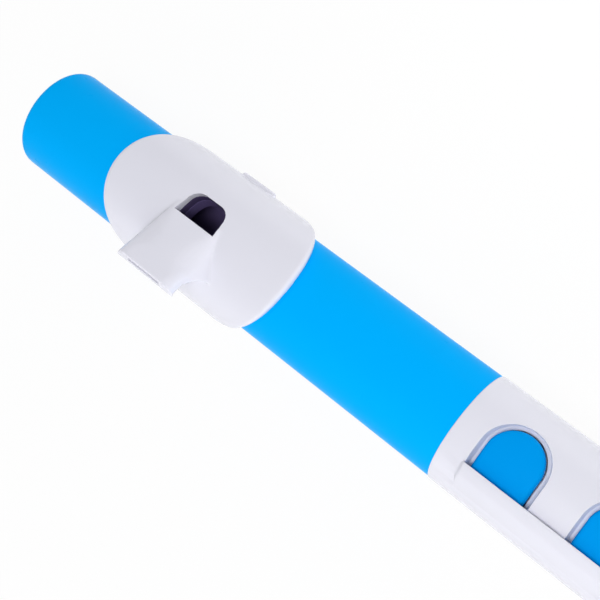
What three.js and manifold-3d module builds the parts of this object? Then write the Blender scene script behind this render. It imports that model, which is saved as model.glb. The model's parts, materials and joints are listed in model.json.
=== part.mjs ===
// A short plastic flute for children: a blue head with a white lip plate and blowing spout, and a white body
// with blue hinged keys. Millimetres and degrees. X runs from the crown to the foot, +Z is the side of the
// keys and -Y is the player's side. Shapes are made about the bore's axis and set on the ground at the end.
import * as THREE from "three";
import { mergeVertices } from "three/addons/utils/BufferGeometryUtils.js";
import Module from "manifold-3d";

const wasm = await Module();
wasm.setup();

// Main sizes
const headLength = 122.3;
const bodyLength = 217.7;
const headRadius = 12.5;
const headWall = 2.2;
const bodyRadius = 12.7;
const coverWall = 1.4;
const boreRadius = 6.5;
const boreWall = 1.3;

// Clearances
const fitGap = 0.3; // pieces that seat on each other
const pinGap = 0.25; // holes round rods and springs
const sealGap = 0.12; // seals against the wall that they press on
const seatGap = 0.1; // a closed pad above its tone hole
const hoodGap = 0.45; // keys under their hood

// Edges
const crownFillet = 1.6;
const footFillet = 1.2;
const edgeBreak = 0.4;

// Head
const embouchureX = 54;
const collarLength = 6;
const plugLength = 8;
const plugStemRadius = 4.5;
const stopperDistance = 17;
const stopperLength = 12;
const coreOverhang = 3;
const riserWall = 1.5;
const bossMargin = 2.5;

// Window of the embouchure, seen from above
const windowHalfWidth = 5.55;
const windowDepth = 5.65;
const windowCorner = 3;

// Lip plate
const plateWall = 1.9;
const plateHalfLength = 25.6;
const plateHalfAngle = 100;
const strapHalfWidth = 12;
const plateLip = 0.7;
const plateEdgeRun = 1.6;

// Blowing spout of the lip plate, with places seen along the tube
const spoutWidth = 15.3;
const spoutFlare = 0.25;
const spoutRound = 2.4;
const spoutRootRise = 0.7;
const spoutReach = 14.4;
const spoutClimb = 5.2;
const spoutTipThickness = 2.4;
const spoutTipLean = 1.2;
const archFoot = 8.5;
const archShare = 0.45;
const windwayWidth = 9;
const windwayHeight = 0.9;
const windwayRoof = 0.7;

// Raised rib on the far side of the lip plate
const ribAngle = -72;
const ribLength = 9.6;
const ribWidth = 1.6;
const ribHeight = 1;
const ribRound = 2;

// Tenon and its rings
const tenonLength = 22;
const ringSection = 0.85;
const ringPlaces = [7, 14];
const stopperRingSection = 0.7;

// Body
const shoulderLength = 4;
const footLength = 6;
const coverSplit = 0.3;
const tongueLength = 8;
const tongueDepth = 2.2;
const tongueWall = 0.9;
const tongueCount = 4;
const tongueMargin = 24;

// Keys: the groups on one hinge rod, by the place of their first key along the body
const keyPitch = 23;
const leftHandPlace = 13;
const rightHandPlace = 91.4;
const thumbPlace = 27.4;
const keyHalfWidth = 5.95;
const keyBack = 6.2;
const keyThickness = 1.5;
const keyDrop = 0.6;
const keyEdge = 0.6;
const keySideGap = 0.35;
const keyTravel = 8;
const keyRoof = 0.8;
const keyEndTurn = 86; // round the D to its last facet

// Openings for the keys
const rimFlare = 0.75;
const rimDepth = 0.95;

// Hinge of the keys
const hingeAngle = 38;
const hingeDepth = 1.1;
const rodRadius = 0.5;
const barrelWall = 0.6;
const barrelInset = 0.35;
const hoodRise = 1.2;
const hoodInnerAngle = 24;
const hoodRidgeAngle = 35.5;
const hoodLead = 7.2;
const hoodRamp = 1.5;
const hoodEndRise = 0.15;
const postWidth = 4;
const endPostWidth = 2.2;
const postLeanIn = 9;
const postLeanOut = 14;
const armLean = 5;

// Pads, tone holes and springs
const padCentre = -0.5;
const padRadius = 4.1;
const padThickness = 0.95;
const padEdge = 0.25;
const cupWall = 0.5;
const cupLip = 0.35;
const toneHoleRadius = 3.2;
const chimneyWall = 1.4;
const springRadius = 0.25;
const springDrop = 1.9;
const springSetback = 0.8;
const catchWidth = 2.4;
const catchPlace = 3.2;
const catchThickness = 0.85;

// Facets
const roundSides = 28;
const plateSides = 48;
const smallSides = 12;
const pinSides = 8;
const sealSides = 6;
const arcSteps = 4;
const cornerMiddle = 1 - Math.SQRT1_2; // of a rounded corner, as a share of its radius

// Worked out from the sizes above
const totalLength = headLength + bodyLength;
const tubeInnerRadius = headRadius - headWall;
const collarRadius = tubeInnerRadius - fitGap;
const coreRadius = boreRadius + boreWall;
const coverInnerRadius = bodyRadius - coverWall;
const seatRadius = coverInnerRadius - fitGap;
const bodyStart = headLength + fitGap;
const coverEnd = totalLength - footLength - fitGap;
const tenonStart = headLength - tenonLength;
const stopperFace = embouchureX - stopperDistance;
const stopperBack = stopperFace - stopperLength;
const coreStart = stopperBack - coreOverhang;
const plateInnerRadius = headRadius + fitGap;
const plateRadius = plateInnerRadius + plateWall;
const keyTopRadius = bodyRadius - keyDrop;
const hingeRadius = bodyRadius - hingeDepth;
const rodHole = rodRadius + pinGap;
const barrelRadius = rodHole + barrelWall;
const barrelHalfLength = keyHalfWidth - barrelInset;
const pocketRadius = barrelRadius + fitGap;
const pocketHalfWidth = keyHalfWidth + keySideGap;
const postLead = keyPitch / 2;
const hinge = polar(hingeAngle, hingeRadius);
const farAway = 4 * bodyRadius;

// A point of the cross-section, [y, z], at an angle from the top towards the player.
function polar(angle, radius) {
  const turn = THREE.MathUtils.degToRad(angle);
  return [-radius * Math.sin(turn), radius * Math.cos(turn)];
}

// Points on a quarter round in a profile of [x, r], from one angle to another.
function roundEdge(x, r, radius, from, to) {
  return Array.from({ length: arcSteps + 1 }, (_, i) => {
    const turn = THREE.MathUtils.degToRad(from + ((to - from) * i) / arcSteps);
    return [x + radius * Math.cos(turn), r + radius * Math.sin(turn)];
  });
}

// Six times the volume inside a triangle mesh: negative when its faces point inwards.
function signedVolume(positions, triangles) {
  const [a, b, c] = [new THREE.Vector3(), new THREE.Vector3(), new THREE.Vector3()];
  let sum = 0;
  for (let i = 0; i < triangles.length; i += 3) {
    a.fromArray(positions, 3 * triangles[i]);
    b.fromArray(positions, 3 * triangles[i + 1]);
    c.fromArray(positions, 3 * triangles[i + 2]);
    sum += a.dot(b.cross(c));
  }
  return sum;
}

// A solid from a closed geometry: shared vertices merged, flat triangles dropped, faces pointing out.
function solid(shape) {
  if (!shape.isBufferGeometry) {
    return shape;
  }
  const bare = shape.clone();
  bare.deleteAttribute("normal");
  bare.deleteAttribute("uv");
  const merged = mergeVertices(bare);
  const positions = merged.attributes.position.array;
  const triangles = [];
  for (let i = 0; i < merged.index.count; i += 3) {
    const [a, b, c] = merged.index.array.slice(i, i + 3);
    if (a !== b && b !== c && c !== a) {
      triangles.push(a, b, c);
    }
  }
  const facesOut = signedVolume(positions, triangles) > 0;
  const triVerts = new Uint32Array(facesOut ? triangles : triangles.reverse());
  return new wasm.Manifold(new wasm.Mesh({ numProp: 3, vertProperties: positions, triVerts }));
}

const join = (...shapes) => shapes.map(solid).reduce((whole, next) => whole.add(next));
const cut = (shape, ...tools) => tools.map(solid).reduce((rest, tool) => rest.subtract(tool), solid(shape));
const common = (one, other) => solid(one).intersect(solid(other));

// The geometry of a solid, for a mesh.
function geometryOf(shape) {
  const { vertProperties, triVerts } = solid(shape).getMesh();
  const geometry = new THREE.BufferGeometry();
  geometry.setAttribute("position", new THREE.BufferAttribute(vertProperties, 3));
  geometry.setIndex(new THREE.BufferAttribute(triVerts, 1));
  geometry.computeVertexNormals();
  return geometry;
}

// A body of revolution about X from a profile of [x, r] that starts and ends on the axis or on one point. A
// facet, and not a corner, lies lowest, so that the flute doesn't roll.
function revolve(profile, sides = roundSides) {
  const points = profile.map(([x, r]) => new THREE.Vector2(r, x));
  return new THREE.LatheGeometry(points, sides, Math.PI / sides).rotateZ(-Math.PI / 2);
}

// A ring-shaped body of revolution: the profile is closed on its first point.
const ring = (profile, sides) => revolve([...profile, profile[0]], sides);

const bar = (from, to, radius, sides) =>
  revolve([[from, 0], [from, radius], [to, radius], [to, 0]], sides);

const tube = (from, to, inner, outer) =>
  ring([[from, inner], [from, outer], [to, outer], [to, inner]]);

const rubberRing = (x, centreRadius, section) =>
  new THREE.TorusGeometry(centreRadius, section, sealSides, roundSides).rotateY(Math.PI / 2).translate(x, 0, 0);

// A prism along X from points [y, z] of an outline in the cross-section.
function prismAlongX(points, from, to) {
  const outline = new THREE.Shape(points.map(([y, z]) => new THREE.Vector2(y, z)));
  const geometry = new THREE.ExtrudeGeometry(outline, { depth: to - from, bevelEnabled: false });
  const [xAxis, yAxis, zAxis] = [0, 1, 2].map((i) => new THREE.Vector3().setComponent(i, 1));
  geometry.applyMatrix4(new THREE.Matrix4().makeBasis(yAxis, zAxis, xAxis));
  return geometry.translate(from, 0, 0);
}

// An upright prism from an outline seen from above.
const prismUp = (outline, bottom, top) =>
  new THREE.ExtrudeGeometry(outline, { depth: top - bottom, bevelEnabled: false, curveSegments: 2 * arcSteps })
    .translate(0, 0, bottom);

const block = (x, y, z) =>
  new THREE.BoxGeometry(x[1] - x[0], y[1] - y[0], z[1] - z[0])
    .translate((x[0] + x[1]) / 2, (y[0] + y[1]) / 2, (z[0] + z[1]) / 2);

// A skin through rings of points, capped at both ends or looped back to the first ring.
function loft(rings, looped = false) {
  const count = rings[0].length;
  const last = (rings.length - 1) * count;
  const index = [];
  for (let s = 0; s < rings.length - (looped ? 0 : 1); s++) {
    const near = s * count;
    const far = ((s + 1) % rings.length) * count;
    for (let i = 0; i < count; i++) {
      const next = (i + 1) % count;
      index.push(near + i, near + next, far + next, near + i, far + next, far + i);
    }
  }
  for (let i = 1; i < count - 1 && !looped; i++) {
    index.push(0, i + 1, i, last, last + i, last + i + 1);
  }
  const geometry = new THREE.BufferGeometry();
  geometry.setAttribute("position", new THREE.Float32BufferAttribute(rings.flat(2), 3));
  geometry.setIndex(index);
  return geometry;
}

// Turns a key's shape from closed to open, or back, about the hinge.
const swing = (geometry, angle) =>
  geometry
    .translate(0, -hinge[0], -hinge[1])
    .rotateX(THREE.MathUtils.degToRad(angle))
    .translate(0, hinge[0], hinge[1]);

// The window's outline, grown by a margin: straight towards the player, with round far corners.
function windowOutline(margin) {
  const half = windowHalfWidth + margin;
  const far = windowDepth + margin;
  const corner = windowCorner + margin;
  const outline = new THREE.Shape();
  outline.moveTo(-half, -margin);
  outline.lineTo(half, -margin);
  outline.lineTo(half, far - corner);
  outline.absarc(half - corner, far - corner, corner, 0, Math.PI / 2);
  outline.lineTo(corner - half, far);
  outline.absarc(corner - half, far - corner, corner, Math.PI / 2, Math.PI);
  outline.closePath();
  return outline;
}

const windowPrism = (margin) => prismUp(windowOutline(margin), 0, farAway).translate(embouchureX, 0, 0);

// Head
function headTube() {
  const crown = roundEdge(crownFillet, headRadius - crownFillet, crownFillet, 180, 90);
  const shell = ring([
    [0, tubeInnerRadius],
    ...crown,
    [headLength - edgeBreak, headRadius],
    [headLength, headRadius - edgeBreak],
    [headLength, tubeInnerRadius],
  ]);
  return cut(shell, windowPrism(riserWall + fitGap));
}

function headCore() {
  const end = tenonStart - fitGap;
  const bossHalf = windowHalfWidth + riserWall + bossMargin;
  const sleeve = ring([
    [coreStart, boreRadius],
    [coreStart, collarRadius],
    [coreStart + collarLength, collarRadius],
    [coreStart + collarLength, coreRadius],
    [embouchureX - bossHalf, coreRadius],
    [embouchureX - bossHalf, collarRadius],
    [embouchureX + bossHalf, collarRadius],
    [embouchureX + bossHalf, coreRadius],
    [end - collarLength, coreRadius],
    [end - collarLength, collarRadius],
    [end, collarRadius],
    [end, boreRadius],
  ]);
  return cut(sleeve, windowPrism(0));
}

function embouchureRiser() {
  const wall = cut(windowPrism(riserWall), windowPrism(0));
  return common(wall, tube(0, headLength, tubeInnerRadius, headRadius));
}

function endPlug() {
  const stemEnd = stopperBack - fitGap;
  return revolve([
    [0, 0],
    [0, collarRadius - edgeBreak],
    [edgeBreak, collarRadius],
    [plugLength, collarRadius],
    [plugLength, plugStemRadius],
    [stemEnd, plugStemRadius],
    [stemEnd, 0],
  ]);
}

const stopperRadius = boreRadius - fitGap;
const stopperRingRadius = boreRadius - sealGap - stopperRingSection;
const stopperMiddle = (stopperBack + stopperFace) / 2;

function stopper() {
  const groove = stopperRingSection + sealGap;
  const grooveRadius = stopperRingRadius - groove;
  return revolve([
    [stopperBack, 0],
    [stopperBack, stopperRadius],
    [stopperMiddle - groove, stopperRadius],
    [stopperMiddle - groove, grooveRadius],
    [stopperMiddle + groove, grooveRadius],
    [stopperMiddle + groove, stopperRadius],
    [stopperFace - edgeBreak, stopperRadius],
    [stopperFace, stopperRadius - edgeBreak],
    [stopperFace, 0],
  ]);
}

const stopperRing = () => rubberRing(stopperMiddle, stopperRingRadius, stopperRingSection);

// Lip plate: an oval wrapped round the tube that runs into a strap behind it.
function plateRing(angle) {
  const share = Math.min(Math.abs(angle) / plateHalfAngle, 1);
  const half = Math.max(plateHalfLength * Math.sqrt(1 - share * share), strapHalfWidth);
  const edge = Array.from({ length: arcSteps + 1 }, (_, i) => {
    const turn = (Math.PI / 2) * (i / arcSteps);
    const run = plateEdgeRun * (1 - Math.cos(turn));
    return [half - run, plateInnerRadius + plateLip + (plateWall - plateLip) * Math.sin(turn)];
  });
  const right = [[half, plateInnerRadius], ...edge];
  const left = right.map(([x, r]) => [-x, r]).reverse();
  return [...right, ...left].map(([x, r]) => [embouchureX + x, ...polar(angle, r)]);
}

const roofSlope = Math.atan2(spoutClimb, spoutReach);
const roofRoot = plateRadius + spoutRootRise;

// The spout: a roof that climbs away from the window, sides that spread towards the plate, a leaning tip and an
// arch under it. Each ring of the skin hangs from the roof and ends inside the plate or on the arch.
function spoutBlock() {
  const steps = 3 * arcSteps;
  const start = windowDepth / 4;
  const tip = [-spoutReach, roofRoot + spoutClimb];
  const lip = [tip[0] - spoutTipLean, tip[1] - spoutTipThickness];
  const foot = [-archFoot, Math.sqrt(plateInnerRadius ** 2 - archFoot ** 2)];
  const roof = new THREE.LineCurve(
    new THREE.Vector2(start, roofRoot - start * Math.tan(roofSlope)),
    new THREE.Vector2(...tip),
  );
  const inside = new THREE.LineCurve(
    new THREE.Vector2(start, plateInnerRadius - plateWall),
    new THREE.Vector2(...foot),
  );
  const arch = new THREE.EllipseCurve(lip[0], foot[1], foot[0] - lip[0], lip[1] - foot[1], 0, Math.PI / 2);
  const rings = Array.from({ length: steps + 1 }, (_, i) => {
    const share = i / steps;
    const onArch = (share - archShare) / (1 - archShare);
    const top = roof.getPoint(share);
    const bottom = onArch < 0 ? inside.getPoint(share / archShare) : arch.getPoint(onArch);
    const height = top.distanceTo(bottom);
    const round = Math.min(spoutRound, height / 2);
    const half = spoutWidth / 2;
    const side = [
      [half + spoutFlare * height, height],
      [half + spoutFlare * round, round],
      [half - cornerMiddle * round, cornerMiddle * round],
      [half - round, 0],
    ];
    const other = side.map(([x, depth]) => [-x, depth]).reverse();
    return [...side, ...other].map(([x, depth]) => {
      const point = top.clone().lerp(bottom, depth / height);
      return [embouchureX + x, point.x, point.y];
    });
  });
  return loft(rings);
}

// The slot that leads the breath from the spout's tip down to the window.
function windway() {
  const length = 2 * spoutReach;
  return new THREE.BoxGeometry(windwayWidth, length, windwayHeight)
    .translate(0, (windowDepth - length) / 2, -windwayRoof - windwayHeight / 2)
    .rotateX(-roofSlope)
    .translate(embouchureX, 0, roofRoot);
}

function plateRib() {
  const half = ribLength / 2;
  const side = new THREE.Shape();
  side.moveTo(-half, -ribHeight);
  side.lineTo(half, -ribHeight);
  side.lineTo(half, 0);
  side.quadraticCurveTo(half, ribHeight, half - ribRound, ribHeight);
  side.lineTo(ribRound - half, ribHeight);
  side.quadraticCurveTo(-half, ribHeight, -half, 0);
  side.closePath();
  const [y, z] = polar(ribAngle, plateRadius);
  return new THREE.ExtrudeGeometry(side, { depth: ribWidth, bevelEnabled: false, curveSegments: arcSteps })
    .translate(0, 0, -ribWidth / 2)
    .rotateX(Math.PI / 2 + THREE.MathUtils.degToRad(ribAngle))
    .translate(embouchureX, y, z);
}

function lipPlate() {
  const angles = Array.from({ length: plateSides }, (_, i) => (360 * (i + 0.5)) / plateSides - 180);
  const sleeve = loft(angles.map(plateRing), true);
  const hollow = bar(-totalLength, totalLength, plateInnerRadius, plateSides);
  return cut(join(sleeve, cut(spoutBlock(), hollow), cut(plateRib(), hollow)), windowPrism(0), windway());
}

// Tenon rings
const tenonRingRadius = tubeInnerRadius - sealGap - ringSection;
const tenonRing = (place) => rubberRing(tenonStart + place, tenonRingRadius, ringSection);

// The closed pad lies flat on its tone hole; its height follows from the roof left over it in the key.
const keyAxisClosed = new THREE.Vector2(-hinge[0], -hinge[1])
  .rotateAround(new THREE.Vector2(), THREE.MathUtils.degToRad(-keyTravel))
  .add(new THREE.Vector2(...hinge));
const cupInnerRadius = padRadius + fitGap;
const cupRadius = cupInnerRadius + cupWall;
const cupFar = padCentre + cupInnerRadius - keyAxisClosed.x;
const cupRoof = keyAxisClosed.y + Math.sqrt(keyTopRadius ** 2 - cupFar ** 2) - keyRoof;
const padTop = cupRoof - fitGap;
const padBottom = padTop - padThickness;
const toneHoleSeat = padBottom - seatGap;
const chimneyRadius = toneHoleRadius + chimneyWall;

// An upright round piece on a pad's centre line, from one height to another.
const upright = (radius, bottom, top, sides = smallSides) =>
  new THREE.CylinderGeometry(radius, radius, top - bottom, sides)
    .rotateX(Math.PI / 2)
    .translate(0, padCentre, (bottom + top) / 2);

// Key groups: where the keys of each rod stand along the body.
const along = (first, count) => Array.from({ length: count }, (_, i) => bodyStart + first + i * keyPitch);
const leftHand = along(leftHandPlace, 3);
const rightHand = along(rightHandPlace, 4);
const thumb = along(thumbPlace, 1);
const upperKeys = [...leftHand, ...rightHand];

// Body
function bodyCore() {
  const groove = ringSection + sealGap;
  const grooveRadius = tenonRingRadius - groove;
  const grooves = ringPlaces.flatMap((place) => [
    [tenonStart + place - groove, collarRadius],
    [tenonStart + place - groove, grooveRadius],
    [tenonStart + place + groove, grooveRadius],
    [tenonStart + place + groove, collarRadius],
  ]);
  const footStart = totalLength - footLength;
  const outside = revolve([
    [tenonStart, 0],
    [tenonStart, collarRadius - edgeBreak],
    [tenonStart + edgeBreak, collarRadius],
    ...grooves,
    [bodyStart, collarRadius],
    [bodyStart, seatRadius],
    [bodyStart + shoulderLength, seatRadius],
    [bodyStart + shoulderLength, coreRadius],
    [footStart - shoulderLength, coreRadius],
    [footStart - shoulderLength, seatRadius],
    [footStart, seatRadius],
    [footStart, bodyRadius],
    ...roundEdge(totalLength - footFillet, bodyRadius - footFillet, footFillet, 90, 0),
    [totalLength, 0],
  ]);
  const chimneys = [];
  const holes = [];
  for (const [places, turn] of [[upperKeys, 0], [thumb, Math.PI]]) {
    for (const x of places) {
      chimneys.push(upright(chimneyRadius, 0, toneHoleSeat).rotateX(turn).translate(x, 0, 0));
      holes.push(upright(toneHoleRadius, 0, farAway).rotateX(turn).translate(x, 0, 0));
      holes.push(upright(cupRadius + fitGap, toneHoleSeat, farAway).rotateX(turn).translate(x, 0, 0));
    }
  }
  return cut(join(outside, ...chimneys), bar(0, 2 * totalLength, boreRadius), ...holes);
}

// A key opening's outline from above at one radius: straight towards the hood, round on the far side.
function openingRing(half, radius) {
  const steps = 3 * arcSteps;
  const back = polar(hoodInnerAngle, bodyRadius)[0];
  const round = Array.from({ length: steps + 1 }, (_, i) => {
    const turn = (Math.PI * i) / steps;
    return [half * Math.cos(turn), half * Math.sin(turn)];
  });
  return [[-half, back], [half, back], ...round].map(([x, y]) => [x, y, Math.sqrt(radius ** 2 - y ** 2)]);
}

// What one key takes out of a cover: the opening with its flared rim, and the room under the hood.
function keyRoom(x) {
  const flared = pocketHalfWidth + 2 * rimFlare;
  const opening = loft([
    openingRing(pocketHalfWidth, coverInnerRadius - coverWall),
    openingRing(pocketHalfWidth, bodyRadius - rimDepth),
    openingRing(flared, bodyRadius + rimDepth),
    openingRing(flared, farAway),
  ]);
  const under = common(
    bar(-pocketHalfWidth, pocketHalfWidth, keyTopRadius + hoodGap),
    block(
      [-pocketHalfWidth, pocketHalfWidth],
      [hinge[0] - pocketRadius, polar(hoodInnerAngle, coverInnerRadius)[0]],
      [0, farAway],
    ),
  );
  const barrel = bar(-pocketHalfWidth, pocketHalfWidth, pocketRadius, smallSides).translate(0, ...hinge);
  return [opening.translate(x, 0, 0), under.translate(x, 0, 0), barrel.translate(x, 0, 0)];
}

const springPlace = [hinge[0] - springSetback, hinge[1] - springDrop];

// The raised hood over the keys' hinges, tangent to the cover on the player's side, with a ramp at each end.
function hoodRing(x, rise) {
  const inside = bodyRadius - coverWall / 2;
  const radius = bodyRadius + rise;
  const tangent = hoodRidgeAngle + THREE.MathUtils.radToDeg(Math.acos(bodyRadius / radius));
  const top = Array.from({ length: arcSteps + 1 }, (_, i) =>
    polar(hoodInnerAngle + ((hoodRidgeAngle - hoodInnerAngle) * i) / arcSteps, radius));
  const outline = [
    polar(hoodInnerAngle, inside),
    ...top,
    polar(tangent, bodyRadius),
    polar(tangent, inside),
    polar((hoodInnerAngle + tangent) / 2, inside),
  ];
  return outline.map(([y, z]) => [x, y, z]);
}

const hood = (from, to) =>
  loft([
    hoodRing(from, hoodEndRise),
    hoodRing(from + hoodRamp, hoodRise),
    hoodRing(to - hoodRamp, hoodRise),
    hoodRing(to, hoodEndRise),
  ]);

// A post inside the cover that holds the rod and the tail of a needle spring.
function hingePost(from, to) {
  const inside = bodyRadius - coverWall / 2;
  const margin = springRadius + pinGap + barrelWall;
  const outline = [
    polar(hingeAngle - postLeanIn, inside),
    polar(hingeAngle + postLeanOut, inside),
    [springPlace[0] - margin, springPlace[1] - margin],
    [springPlace[0] + margin, springPlace[1] - margin],
    [hinge[0] + barrelRadius, hinge[1] - barrelRadius / 2],
  ];
  return prismAlongX(outline, from, to);
}

// Half of the body's shell, made as the upper one, with the hoods, posts and openings of its key groups.
function cover(groups) {
  let shell = tube(bodyStart, coverEnd, coverInnerRadius, bodyRadius);
  const holes = [];
  for (const places of groups) {
    const from = places[0] - hoodLead;
    const to = places.at(-1) + postLead + postWidth / 2;
    const posts = places.map((x) => hingePost(x + postLead - postWidth / 2, x + postLead + postWidth / 2));
    posts.push(hingePost(places[0] - pocketHalfWidth - endPostWidth, places[0] - pocketHalfWidth));
    const clear = posts.map((post) => cut(
      post,
      bar(0, totalLength, coreRadius + fitGap),
      bar(0, bodyStart + shoulderLength + fitGap, coverInnerRadius),
    ));
    shell = join(shell, hood(from, to), ...clear);
    holes.push(bar(from - fitGap, to + fitGap, rodHole, pinSides).translate(0, ...hinge));
    for (const x of places) {
      const tail = bar(x, x + postLead + postWidth, springRadius + pinGap, pinSides);
      holes.push(...keyRoom(x), tail.translate(0, ...springPlace));
    }
  }
  const lowerHalf = block([0, totalLength], [-farAway, farAway], [-farAway, coverSplit / 2]);
  return cut(shell, lowerHalf, ...holes);
}

// A tongue inside the upper cover that reaches behind the edge of the lower one.
function tongue(x, side) {
  const outer = seatRadius * Math.cos(Math.asin(tongueDepth / seatRadius));
  const root = coverInnerRadius + coverWall / 2;
  const outline = [
    [side * (outer - tongueWall), -tongueDepth],
    [side * outer, -tongueDepth],
    [side * outer, coverSplit],
    [side * root, coverSplit],
    [side * root, tongueDepth],
    [side * (outer - tongueWall), tongueDepth],
  ];
  return prismAlongX(outline, x - tongueLength / 2, x + tongueLength / 2);
}

function upperCover() {
  const first = bodyStart + tongueMargin;
  const step = (coverEnd - tongueMargin - first) / (tongueCount - 1);
  const places = Array.from({ length: tongueCount }, (_, i) => first + i * step);
  const tongues = places.flatMap((x) => [tongue(x, 1), tongue(x, -1)]);
  return join(cover([leftHand, rightHand]), ...tongues);
}

const lowerCover = () => geometryOf(cover([thumb])).rotateX(Math.PI);

function hingeRod(places) {
  const from = places[0] - hoodLead;
  return bar(from, places.at(-1) + postLead + postWidth / 2, rodRadius, pinSides).translate(0, ...hinge);
}

// The finger plate of a key: a D seen from above, its top following the body's round, its edges rounded off.
function keyPlate() {
  const bottomRadius = keyTopRadius - keyThickness;
  const steps = 2 * arcSteps - 1;
  const round = Array.from({ length: steps + 1 }, (_, i) => {
    const turn = THREE.MathUtils.degToRad((keyEndTurn * i) / steps);
    return [keyHalfWidth * Math.sin(turn), keyHalfWidth * Math.cos(turn)];
  });
  const rings = [[-keyBack, keyHalfWidth], ...round].map(([y, half]) => {
    const room = Math.min(keyHalfWidth - y, keyEdge);
    const endDrop = keyEdge - Math.sqrt(keyEdge ** 2 - (keyEdge - room) ** 2);
    const top = Math.sqrt(keyTopRadius ** 2 - y ** 2) - endDrop;
    const bottom = Math.sqrt(bottomRadius ** 2 - y ** 2);
    const inset = Math.min(keyEdge, half / 2);
    const drop = (top - bottom) / 2;
    const low = Math.min(keyEdge, drop);
    const side = [
      [half, bottom],
      [half, top - low],
      [half - cornerMiddle * inset, top - cornerMiddle * low],
      [half - inset, top],
    ];
    const other = side.map(([x, z]) => [-x, z]).reverse();
    return [...side, ...other].map(([x, z]) => [x, y, z]);
  });
  return loft(rings);
}

function key() {
  const holder = common(
    swing(upright(cupRadius, padBottom + cupLip, keyTopRadius), keyTravel),
    bar(-cupRadius, cupRadius, keyTopRadius - keyThickness / 2),
  );
  const pocket = swing(upright(cupInnerRadius, 0, cupRoof), keyTravel);
  const barrel = bar(-barrelHalfLength, barrelHalfLength, barrelRadius, smallSides).translate(0, ...hinge);
  const root = [
    hinge,
    polar(hingeAngle - armLean, keyTopRadius - fitGap),
    polar(hoodInnerAngle, keyTopRadius - fitGap),
    polar(hoodInnerAngle, keyTopRadius - keyThickness),
    [hinge[0] + barrelRadius, hinge[1] - barrelRadius / 2],
  ];
  const arm = prismAlongX(root, -barrelHalfLength, barrelHalfLength);
  const catchFace = springPlace[0] + springRadius + pinGap;
  const springCatch = block(
    [catchPlace - catchWidth / 2, catchPlace + catchWidth / 2],
    [catchFace, catchFace + catchThickness],
    [springPlace[1] - springRadius, hinge[1]],
  );
  const rodBore = bar(-2 * keyHalfWidth, 2 * keyHalfWidth, rodHole, pinSides).translate(0, ...hinge);
  return cut(join(keyPlate(), holder, arm, barrel, springCatch), pocket, rodBore);
}

// A silicone pad with a softened rim, held open above its tone hole.
function pad() {
  const outline = [
    [0, padBottom],
    [padRadius - padEdge, padBottom],
    [padRadius, padBottom + padEdge],
    [padRadius, padTop],
    [0, padTop],
  ];
  const points = outline.map(([r, z]) => new THREE.Vector2(r, z));
  const disc = new THREE.LatheGeometry(points, smallSides).rotateX(Math.PI / 2).translate(0, padCentre, 0);
  return swing(disc, keyTravel);
}

const needleSpring = () =>
  bar(catchPlace - catchWidth / 2, postLead + postWidth / 4, springRadius, pinSides).translate(0, ...springPlace);

// Finishes
const finishes = {
  bluePlastic: { color: 0x01acfc, roughness: 0.38, metalness: 0 },
  whitePlastic: { color: 0xe6e6ec, roughness: 0.42, metalness: 0 },
  blackPlastic: { color: 0x1a1820, roughness: 0.5, metalness: 0 },
  silicone: { color: 0xd8d6d2, roughness: 0.75, metalness: 0 },
  rubber: { color: 0x16161a, roughness: 0.8, metalness: 0 },
  steel: { color: 0xb9bcc0, roughness: 0.3, metalness: 1 },
};

const flute = new THREE.Group();
const assembly = new THREE.Group();
assembly.position.set(-totalLength / 2, 0, plateRadius);
flute.add(assembly);

function add(name, shape, finish, group = assembly) {
  const mesh = new THREE.Mesh(geometryOf(shape), new THREE.MeshStandardMaterial(finishes[finish]));
  mesh.name = name;
  group.add(mesh);
}

add("head_tube", headTube(), "bluePlastic");
add("head_core", headCore(), "blackPlastic");
add("embouchure_riser", embouchureRiser(), "blackPlastic");
add("end_plug", endPlug(), "bluePlastic");
add("stopper", stopper(), "blackPlastic");
add("stopper_o_ring", stopperRing(), "rubber");
add("lip_plate", lipPlate(), "whitePlastic");
ringPlaces.forEach((place, i) => add(`tenon_o_ring_${i + 1}`, tenonRing(place), "rubber"));
add("body_core", bodyCore(), "whitePlastic");
add("upper_cover", upperCover(), "whitePlastic");
add("lower_cover", lowerCover(), "whitePlastic");

// Each key with its pad and spring in a group of its own; the thumb's group is turned to the back.
const back = new THREE.Group();
back.rotation.x = Math.PI;
assembly.add(back);
const hands = [
  ["left_hand_rod", leftHand, ["left_index", "left_middle", "left_ring"], assembly],
  ["right_hand_rod", rightHand, ["right_index", "right_middle", "right_ring", "right_little"], assembly],
  ["thumb_rod", thumb, ["left_thumb"], back],
];
for (const [rod, places, fingers, side] of hands) {
  add(rod, hingeRod(places), "steel", side);
  fingers.forEach((finger, i) => {
    const station = new THREE.Group();
    station.position.x = places[i];
    side.add(station);
    add(`${finger}_key`, key(), "bluePlastic", station);
    add(`${finger}_pad`, pad(), "silicone", station);
    add(`${finger}_spring`, needleSpring(), "steel", station);
  });
}

export default flute;
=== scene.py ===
"""A short plastic flute for children: a blue head with a white lip plate and blowing spout, and a
white body with blue hinged keys. Pieces are given in millimetres from the centre of the crown end:
x along the bore, -y towards the player and z up through the keys."""
import json
import math

import bpy
from mathutils import Matrix, Vector


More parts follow.
